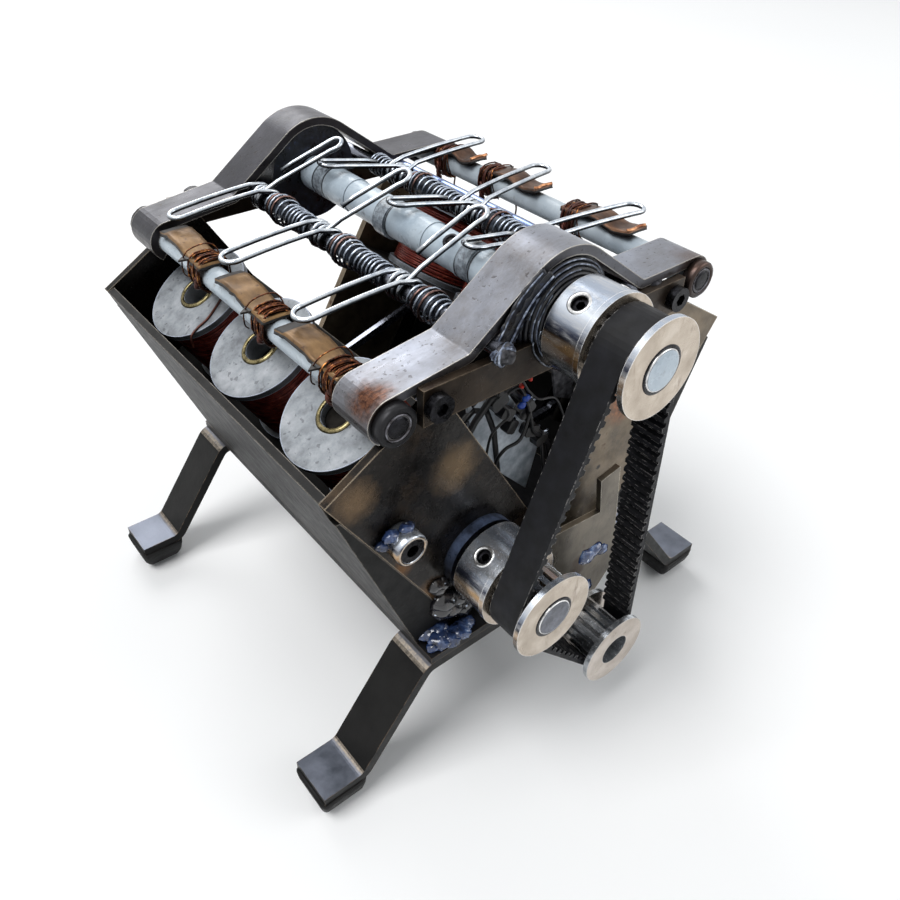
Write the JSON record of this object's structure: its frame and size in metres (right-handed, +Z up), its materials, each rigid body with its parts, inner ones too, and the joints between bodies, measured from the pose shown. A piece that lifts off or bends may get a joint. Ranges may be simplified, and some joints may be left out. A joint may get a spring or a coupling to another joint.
{
  "type": "demonstration electric motor",
  "caption": "V-block solenoid motor: sheet steel banks of coils drive a crankshaft, with a toothed belt up to a camshaft under wire rockers that switch the coils.",
  "frame": {"origin": "on the floor, below the camshaft, midway between the front of the pulleys and the back of the rear feet", "axes": "+X to the right across the block seen from the pulleys, +Y from the pulleys to the back along both shafts, +Z up"},
  "size_m": [0.105, 0.1024, 0.097],
  "materials": {
    "dark_steel": "dark brown-black, satin",
    "black_steel": "black, satin",
    "plate_steel": "dark, brown-black, reflective",
    "tan_steel": "dark tan with rust spots",
    "strap_steel": "brushed, worn, rust at the ends",
    "strip_steel": "brown, worn",
    "foot_rubber": "matte",
    "white_rod": "pale bluish white, satin",
    "copper_pad": "copper-brown with dark patina",
    "copper_wire": "bare copper",
    "rod_steel": "bright",
    "spring_steel": "drawn wire",
    "bright_wire": "nickelled wire",
    "zinc_washer": "mottled zinc",
    "red_winding": "red enamelled wire",
    "plunger_steel": "turned",
    "pulley_metal": "turned, bright",
    "black_screw": "black oxide",
    "bracket_steel": "worn sheet",
    "belt_rubber": "matte",
    "bearing_dark": "dark with a blue tint",
    "blue_glue": "translucent glue",
    "black_lead": "black sleeve"
  },
  "bodies": {
    "block": {"base_plate": "dark_steel", "left_wall": "black_steel", "right_wall": "black_steel", "front_left_plate": "plate_steel", "front_right_plate": "tan_steel", "rear_left_plate": "plate_steel", "rear_right_plate": "tan_steel", "front_strap": "strap_steel", "rear_strap": "strap_steel", "front_cross_strip": "strip_steel", "rear_cross_strip": "strip_steel", "front_leg_strap": "dark_steel", "rear_leg_strap": "dark_steel", "rubber_feet": "foot_rubber", "left_contact_rod": "white_rod", "right_contact_rod": "white_rod", "left_contact_pads": "copper_pad", "right_contact_pads": "copper_pad", "left_pad_wraps": "copper_wire", "right_pad_wraps": "copper_wire", "left_spring_rod": "rod_steel", "right_spring_rod": "rod_steel", "left_springs": "spring_steel", "right_springs": "spring_steel", "bobbin_left_front": "zinc_washer", "bobbin_left_middle": "zinc_washer", "bobbin_left_rear": "zinc_washer", "bobbin_right_front": "zinc_washer", "bobbin_right_middle": "zinc_washer", "bobbin_right_rear": "zinc_washer", "left_windings": "red_winding", "right_windings": "red_winding", "idler_bracket": "bracket_steel", "timing_belt": "belt_rubber", "shaft_bearings": "bearing_dark", "fasteners": "black_screw", "glue_beads": "blue_glue", "coil_leads": "black_lead"},
    "crank": {"crankshaft": "rod_steel", "crank_pulley": "pulley_metal", "crank_grub_screws": "black_screw"},
    "cam": {"camshaft": "white_rod", "cam_pulley": "pulley_metal", "cam_grub_screws": "black_screw"},
    "idler": {"idler_pulley": "pulley_metal"},
    "rods_front": {"connecting_rods_front": "rod_steel"},
    "rods_middle": {"connecting_rods_middle": "rod_steel"},
    "rods_rear": {"connecting_rods_rear": "rod_steel"},
    "plunger_left_front": {"plunger_left_front": "plunger_steel"},
    "rocker_left_front": {"rocker_left_front": "bright_wire"},
    "plunger_left_middle": {"plunger_left_middle": "plunger_steel"},
    "rocker_left_middle": {"rocker_left_middle": "bright_wire"},
    "plunger_left_rear": {"plunger_left_rear": "plunger_steel"},
    "rocker_left_rear": {"rocker_left_rear": "bright_wire"},
    "plunger_right_front": {"plunger_right_front": "plunger_steel"},
    "rocker_right_front": {"rocker_right_front": "bright_wire"},
    "plunger_right_middle": {"plunger_right_middle": "plunger_steel"},
    "rocker_right_middle": {"rocker_right_middle": "bright_wire"},
    "plunger_right_rear": {"plunger_right_rear": "plunger_steel"},
    "rocker_right_rear": {"rocker_right_rear": "bright_wire"}
  },
  "joints": [
    {"name": "crank_spin", "type": "hinge", "parent": "block", "child": "crank", "pos_m": [-0.01488, 0.00743, 0.04447], "axis": [0, 1, 0], "continuous": true},
    {"name": "cam_spin", "type": "hinge", "parent": "block", "child": "cam", "pos_m": [0, 0.00743, 0.086], "axis": [0, 1, 0], "continuous": true},
    {"name": "idler_spin", "type": "hinge", "parent": "block", "child": "idler", "pos_m": [0.005, -0.04557, 0.0199], "axis": [0, 1, 0], "continuous": true},
    {"name": "rods_front_swing", "type": "hinge", "parent": "crank", "child": "rods_front", "pos_m": [-0.01488, -0.01638, 0.04747], "axis": [0, 1, 0], "continuous": true},
    {"name": "rods_middle_swing", "type": "hinge", "parent": "crank", "child": "rods_middle", "pos_m": [-0.01748, 0.00743, 0.04297], "axis": [0, 1, 0], "continuous": true},
    {"name": "rods_rear_swing", "type": "hinge", "parent": "crank", "child": "rods_rear", "pos_m": [-0.01229, 0.03122, 0.04297], "axis": [0, 1, 0], "continuous": true},
    {"name": "plunger_left_front_slide", "type": "slide", "parent": "block", "child": "plunger_left_front", "axis": [-0.515, 0, 0.8572], "range_m": [-0.00545, 0.00055]},
    {"name": "plunger_right_front_slide", "type": "slide", "parent": "block", "child": "plunger_right_front", "axis": [0.515, 0, 0.8572], "range_m": [-0.00559, 0.00374]},
    {"name": "plunger_left_middle_slide", "type": "slide", "parent": "block", "child": "plunger_left_middle", "axis": [-0.515, 0, 0.8572], "range_m": [-0.00259, 0.00341]},
    {"name": "plunger_right_middle_slide", "type": "slide", "parent": "block", "child": "plunger_right_middle", "axis": [0.515, 0, 0.8572], "range_m": [-0.00052, 0.00881]},
    {"name": "plunger_left_rear_slide", "type": "slide", "parent": "block", "child": "plunger_left_rear", "axis": [-0.515, 0, 0.8572], "range_m": [-0.00027, 0.00573]},
    {"name": "plunger_right_rear_slide", "type": "slide", "parent": "block", "child": "plunger_right_rear", "axis": [0.515, 0, 0.8572], "range_m": [-0.00808, 0.00125]},
    {"name": "rocker_left_front_rock", "type": "hinge", "parent": "block", "child": "rocker_left_front", "pos_m": [-0.014, -0.00972, 0.0855], "axis": [0, -1, 0], "range_deg": [0, 3], "stiffness_Nm_per_rad": 0.004},
    {"name": "rocker_right_front_rock", "type": "hinge", "parent": "block", "child": "rocker_right_front", "pos_m": [0.014, -0.0121, 0.0855], "axis": [0, 1, 0], "range_deg": [0, 2], "stiffness_Nm_per_rad": 0.004},
    {"name": "rocker_left_middle_rock", "type": "hinge", "parent": "block", "child": "rocker_left_middle", "pos_m": [-0.014, 0.01337, 0.0855], "axis": [0, -1, 0], "range_deg": [0, 3], "stiffness_Nm_per_rad": 0.004},
    {"name": "rocker_right_middle_rock", "type": "hinge", "parent": "block", "child": "rocker_right_middle", "pos_m": [0.014, 0.00624, 0.0855], "axis": [0, 1, 0], "range_deg": [0, 2], "stiffness_Nm_per_rad": 0.004},
    {"name": "rocker_left_rear_rock", "type": "hinge", "parent": "block", "child": "rocker_left_rear", "pos_m": [-0.014, 0.03442, 0.0855], "axis": [0, -1, 0], "range_deg": [0, 3], "stiffness_Nm_per_rad": 0.004},
    {"name": "rocker_right_rear_rock", "type": "hinge", "parent": "block", "child": "rocker_right_rear", "pos_m": [0.014, 0.02862, 0.0855], "axis": [0, 1, 0], "range_deg": [0, 2], "stiffness_Nm_per_rad": 0.004}
  ],
  "couplings": [
    {"joint": "cam_spin", "follows": "crank_spin", "ratio": 1},
    {"joint": "idler_spin", "follows": "crank_spin", "ratio": 1.25},
    {"joint": "rods_front_swing", "follows": "crank_spin", "ratio": -1},
    {"joint": "rods_middle_swing", "follows": "crank_spin", "ratio": -1},
    {"joint": "rods_rear_swing", "follows": "crank_spin", "ratio": -1}
  ]
}
